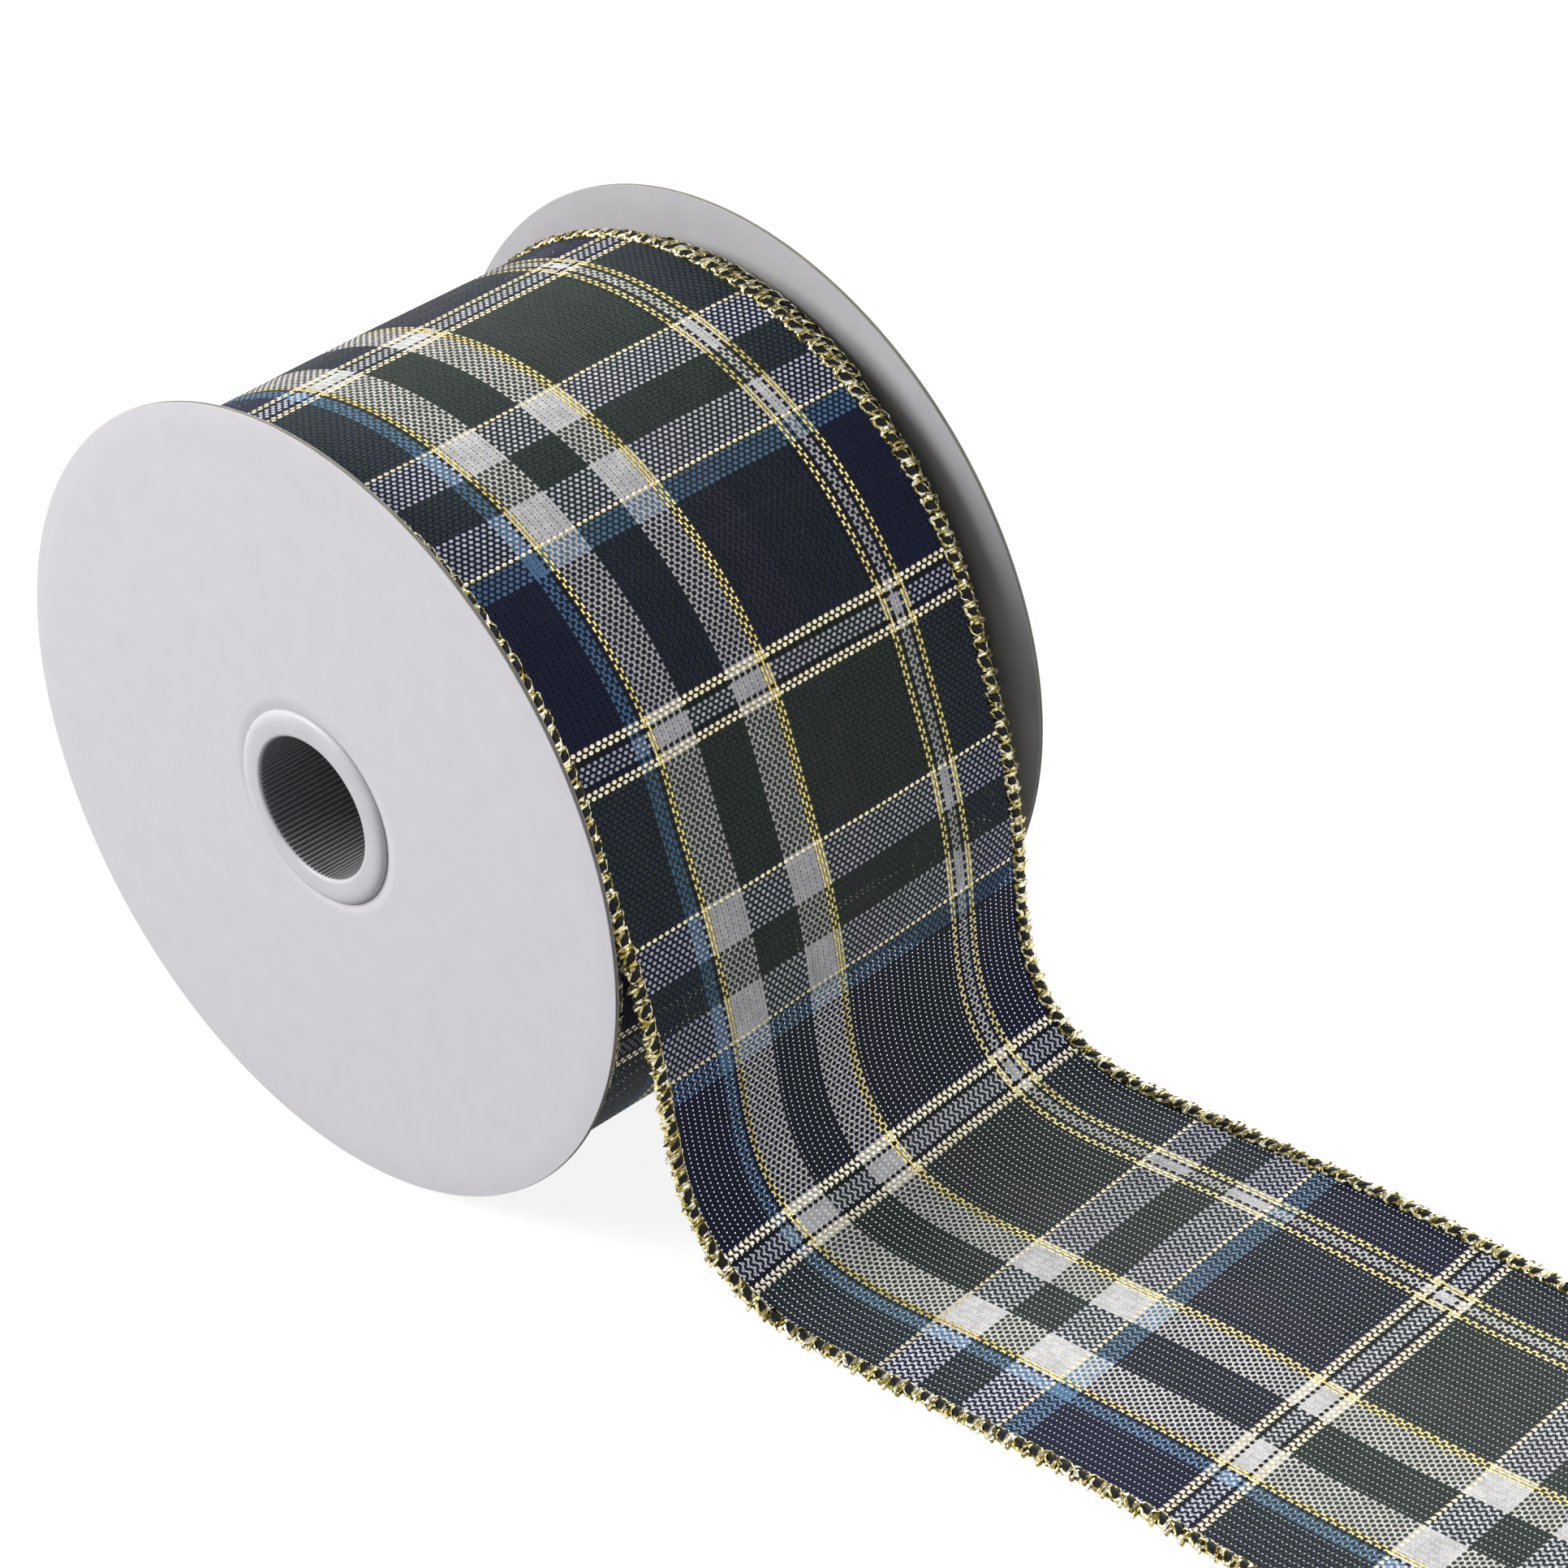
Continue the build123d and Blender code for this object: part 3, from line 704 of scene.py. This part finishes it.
# The inner turns: the same strip, wound on the core in one long spiral
print("inner turns")
inner = {
    "turns": 48, "coreRadius": 12.9, "outerRadius": 45.1, "perTurn": 120, "columns": 9,
    "startPast": 40.0,  # degrees past the place where the ribbon leaves the roll
    "sideways": 0.1, "slipped": 1.0,
    "slipStart": 7.0, "slipEnd": 13.0,  # the slip fades out between these, in radians of winding
    "loopedTurns": 2,  # the outer two show their edges past the lead's, so they get the same loops
    "packedPerTurn": 80, "packedWide": 0.72, "packedHigh": 0.36, "packedSides": 6,
}
innerAngles = np.linspace(0, inner["turns"] * 2 * math.pi, inner["turns"] * inner["perTurn"] + 1)
innerRadius = inner["outerRadius"] - (inner["outerRadius"] - inner["coreRadius"]) * innerAngles / innerAngles[-1]
innerRun = np.concatenate([[0], np.cumsum(innerRadius[:-1] * np.diff(innerAngles))])
innerV = leadStart + ribbonLine["firstStripe"] - innerRun
innerStart = leaveAngle + math.radians(inner["startPast"])


def innerSideways(angle):
    # turns don't land quite on each other, and the outer turn or two have slipped towards the far flange
    slip = inner["slipped"] * (1 - smooth((angle - inner["slipStart"]) / (inner["slipEnd"] - inner["slipStart"])))
    return inner["sideways"] + slip + 0.30 * np.sin(angle / 5.3 + 1.0) + 0.15 * np.sin(angle / 1.7)


def innerFrame(angle):
    radius = np.interp(angle, innerAngles, innerRadius)
    theta = innerStart + angle
    outward = np.stack([np.cos(theta), np.zeros_like(theta), np.sin(theta)], -1)
    along = np.stack([np.sin(theta), np.zeros_like(theta), -np.cos(theta)], -1)
    centre = outward * radius[:, None]
    centre[:, 1] = innerSideways(angle)
    across = np.broadcast_to(np.array([0.0, 1.0, 0.0]), centre.shape)
    return centre, along, across, outward


innerColumns = np.linspace(-clothEdge, clothEdge, inner["columns"])
centre, along, across, normal = innerFrame(innerAngles)
innerPoints = centre[:, None] + across[:, None] * innerColumns[None, :, None]
innerUv = np.stack(np.broadcast_arrays(innerColumns[None, :] + halfWidth, innerV[:, None]), -1) * mm
innerTurns = gridMesh("innerTurns", tartanRolled, innerPoints * mm, innerUv)
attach(innerTurns, "spool")
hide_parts("wound_ribbon")

# Overlocked edges: gold film crossing over a black cord, in a chain of ovals
print("edging")
edge = {
    "loopPitch": 2.25, "swing": 104.0, "reach": 0.87, "rise": 0.50, "filmHalfWidth": 0.24, "filmHalfThick": 0.09,
    "cordWide": 0.66, "cordHigh": 0.44, "swell": 0.24, "lean": 0.45, "step": 0.17, "cordSides": 10, "filmSides": 6,
    "wrapPitch": 0.75, "wrapReach": 1.08, "wrapLean": 0.50, "wrapStep": 0.075,
}
wire = {"radius": 0.2, "past": 0.9, "step": 0.8, "sides": 8}  # cut a little past the cloth's end


def edgeFrame(kind, run, side):
    # centre of the bead and its axes at distances along the lead or angles of the inner turns
    if kind == "lead":
        centre, along, across, normal = leadFrame(run)
    else:
        centre, along, across, normal = innerFrame(run)
    offset = halfWidth - ribbonLine["edgingWidth"] / 2
    return centre + across * side * offset, along, across * side, normal


def uneven(s, seed, size):
    # unevenness of about this size, the same each run
    return size * (np.sin(s * 1.31 + seed) + np.sin(s * 0.47 + seed * 2.3) + np.sin(s * 2.93 + seed * 0.7)) / 3


def tube(name, material, centre, axisA, axisB, halfA, halfB, sides, uvRun=None, lean=None):
    # an elliptical tube whose section at each station lies on axisA and axisB; lean slants the sections
    angles = np.linspace(0, 2 * math.pi, sides, endpoint=False)
    ring = axisA[:, None] * (halfA[:, None] * np.cos(angles))[..., None] \
        + axisB[:, None] * (halfB[:, None] * np.sin(angles))[..., None]
    if lean is not None:
        ring = ring + lean[:, None] * np.cos(angles)[None, :, None]
    uv = None
    if uvRun is not None:
        uv = np.stack(np.broadcast_arrays(np.linspace(0, 1, sides + 1)[None, :], uvRun[:, None] * mm), -1)
    return gridMesh(name, material, (centre[:, None] + ring) * mm, uv, closeColumns=True, caps=True)


def overlock(name, kind, run, length, side, seed):
    # black cord and four runs of film for one edge; run is what the frame takes, length is mm along
    centre, along, outwardAcross, normal = edgeFrame(kind, run, side)
    filmWide = np.full(len(length), edge["filmHalfWidth"])
    filmThick = np.full(len(length), edge["filmHalfThick"])
    beat = math.pi * length / edge["loopPitch"] + uneven(length, seed, 0.30)
    swell = 1 - edge["swell"] * np.cos(2 * beat) + uneven(length, seed, 0.08)
    cord = tube(name + "Cord", blackThread, centre, outwardAcross, normal, edge["cordWide"] * swell,
                edge["cordHigh"] * swell, edge["cordSides"], lean=along * edge["lean"])
    films = []
    for number, (face, flip) in enumerate(((1, 1), (1, -1), (-1, 1), (-1, -1))):
        phase = beat + uneven(length, seed + number, 0.18)
        swing = np.radians(edge["swing"]) * (1 + uneven(length * 1.7, seed + 3 * number, 0.16))
        angle = face * (math.pi / 2 + flip * swing * np.sin(phase))
        lift = 1 + 0.10 * np.cos(phase) * flip + uneven(length * 2.2, seed + 5 * number, 0.14)
        radial = outwardAcross * (np.cos(angle) * edge["reach"] * lift)[:, None] \
            + normal * (np.sin(angle) * edge["rise"] * lift)[:, None]
        line = centre + radial + along * (np.cos(angle) * edge["lean"])[:, None]
        direction = unit(np.gradient(line, axis=0))
        outwards = unit(radial - direction * np.sum(radial * direction, 1, keepdims=True))
        sideways = np.cross(direction, outwards)
        twist = uneven(length * 1.3, seed + 7 * number, 0.9)
        axisA = sideways * np.cos(twist)[:, None] + outwards * np.sin(twist)[:, None]
        axisB = outwards * np.cos(twist)[:, None] - sideways * np.sin(twist)[:, None]
        films.append(tube(f"{name}Film{number}", lurex, line, axisA, axisB, filmWide, filmThick, edge["filmSides"]))
    return cord, joinPieces(name + "Film", films)


def overlockWrap(name, kind, run, length, side, seed):
    # film bound round the cord in a slanting helix; its turns stand out past the edge like leaves
    centre, along, outwardAcross, normal = edgeFrame(kind, run, side)
    turn = 2 * math.pi * length / edge["wrapPitch"] + uneven(length, seed, 1.2)
    out = 0.5 + 0.5 * np.cos(turn)
    # in each loop the film comes out for a few turns and then runs under the black thread
    loop = 2 * math.pi * length / edge["loopPitch"] + 0.5 + uneven(length, seed + 1, 0.9)
    shows = smooth(0.5 + 0.9 * np.cos(loop))
    reach = edge["wrapReach"] * (0.62 + 0.38 * out + out ** 4 * (0.38 + uneven(length * 1.9, seed + 2, 0.45)))
    reach *= 0.55 + 0.45 * shows
    rise = edge["rise"] * (0.5 + 0.5 * shows)
    radial = outwardAcross * (np.cos(turn) * reach)[:, None] + normal * (np.sin(turn) * rise)[:, None]
    line = centre + radial + along * (out ** 2 * edge["wrapLean"])[:, None]
    direction = unit(np.gradient(line, axis=0))
    outwards = unit(radial - direction * np.sum(radial * direction, 1, keepdims=True))
    sideways = np.cross(direction, outwards)
    filmWide = np.full(len(length), edge["filmHalfWidth"])
    filmThick = np.full(len(length), edge["filmHalfThick"])
    return tube(name, lurex, line, sideways, outwards, filmWide, filmThick, edge["filmSides"])


edgedStart = -math.radians(ribbonLine["edgedWrap"]) * ribbonLine["rollRadius"]
leadRun = np.arange(edgedStart, leadEnd, edge["step"])
wrapRun = np.arange(edgedStart, leadEnd, edge["wrapStep"])
wireRun = np.arange(edgedStart, leadEnd + wire["past"], wire["step"])
wireRadius = np.full(len(wireRun), wire["radius"])
for sideName, side in (("near", -1), ("far", 1)):
    cord, film = overlock(f"lead{sideName.title()}Edge", "lead", leadRun, leadRun, side, 1.0 + side)
    centre, along, outwardAcross, normal = edgeFrame("lead", np.minimum(wireRun, leadEnd), side)
    centre = centre + along * np.maximum(wireRun - leadEnd, 0)[:, None]
    core = tube(f"lead{sideName.title()}Wire", steelWire, centre, outwardAcross, normal, wireRadius, wireRadius,
                wire["sides"])
    wrap = overlockWrap(f"lead{sideName.title()}EdgeWrap", "lead", wrapRun, wrapRun, side, 6.0 + side)
    for piece, node, slotName in ((cord, f"lead_{sideName}_edging", "gold_edging"), (film, None, "gold_edging"),
                                  (wrap, None, "gold_edging"), (core, f"lead_{sideName}_wire", "edge_wire")):
        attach(piece, "ribbon_lead")
        if node:
            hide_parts(node)

# The edges of the inner turns: loops on the outer ones, and a pressed bead on the rest
looped = inner["loopedTurns"] * 2 * math.pi
loopedLength = np.arange(0, np.interp(looped, innerAngles, innerRun), edge["step"])
loopedRun = np.interp(loopedLength, innerRun, innerAngles)
packedCount = (inner["turns"] - inner["loopedTurns"]) * inner["packedPerTurn"]
packedRun = np.linspace(looped, innerAngles[-1], packedCount)
packedLength = np.interp(packedRun, innerAngles, innerRun)
packedWide = np.full(packedCount, inner["packedWide"])
packedHigh = np.full(packedCount, inner["packedHigh"])
for sideName, side in (("near", -1), ("far", 1)):
    cord, film = overlock(f"wound{sideName.title()}Edge", "inner", loopedRun, loopedLength, side, 4.0 + side)
    centre, along, outwardAcross, normal = edgeFrame("inner", packedRun, side)
    packed = tube(f"wound{sideName.title()}EdgePacked", packedEdging, centre, outwardAcross, normal, packedWide,
                  packedHigh, inner["packedSides"], packedLength)
    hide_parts(f"wound_{sideName}_edging")
    for piece in (cord, film, packed):
        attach(piece, "spool")

# Plain pale floor that curves up into a wall, and soft studio light, mostly from the upper left
print("studio")
studio = {
    "floorGlow": 0.87, "sky": "#f4f5ff", "skyStrength": 0.15,
    "coveSides": 64, "coveDrop": 0.0001,  # metres that the floor lies under the object
    # radius and height in metres
    "cove": [(0.0001, 0.0), (0.02, 0.0), (1.0, 0.0), (3.0, 0.0), (3.5, 0.1), (3.85, 0.4), (4.0, 0.9), (4.0, 3.5)],
}
floorMaterial, tree = newMaterial("paleStudioFloor")
coords = addNode(tree, "TexCoord").outputs["Object"]
cloud = addNode(tree, "TexNoise", {"Vector": coords, "Scale": textureScale(333.3), "Detail": 2.0})
tones = addNode(tree, "ValToRGB", [cloud])
fillRamp(tones, [(0.3, "#8c8c8e"), (0.7, "#949496")])
surface = addNode(tree, "BsdfPrincipled", {
    "Base Color": tones, "Roughness": 0.9, "Emission Color": hexColour("#ffffff"),
    "Emission Strength": studio["floorGlow"]})
addNode(tree, "OutputMaterial", {"Surface": surface})
around = np.linspace(0, 2 * math.pi, studio["coveSides"], endpoint=False)
coveRadius, coveHeight = np.array(studio["cove"]).T[..., None]
coveHeight = np.repeat(coveHeight, studio["coveSides"], 1) + floorHeight * mm - studio["coveDrop"]
floorPoints = np.stack([coveRadius * np.cos(around), coveRadius * np.sin(around), coveHeight], -1)
floor = gridMesh("studioFloor", floorMaterial, floorPoints, closeColumns=True)
floor.visible_diffuse = False  # the floor looks pale without lighting the object from below

world = bpy.data.worlds.new("studio")
scene.world = world
world.use_nodes = True
world.node_tree.nodes.clear()
sky = addNode(world.node_tree, "Background", {"Color": hexColour(studio["sky"]), "Strength": studio["skyStrength"]})
addNode(world.node_tree, "OutputWorld", {"Surface": sky})

lamps = [
    # name, place in metres, size in metres, watts, colour
    ("keySoftbox", (-0.68, -0.85, 0.68), 0.7, 16.8, "#fffdfa"),
    ("topSoftbox", (0.75, 0.42, 0.9), 0.6, 4.8, "#f8f9ff"),
    ("backSoftbox", (-0.5, 1.1, 0.3), 0.8, 11.0, "#ffffff"),
]
for name, place, size, watts, colour in lamps:
    light = bpy.data.lights.new(name, "AREA")
    light.shape, light.size, light.energy = "SQUARE", size, watts
    light.color = hexColour(colour)[:3]
    lamp = bpy.data.objects.new(name, light)
    scene.collection.objects.link(lamp)
    lamp.location = place
    lamp.rotation_mode = "QUATERNION"
    lamp.rotation_quaternion = Vector(place).to_track_quat("Z", "Y")
scene.view_settings.view_transform = "Standard"
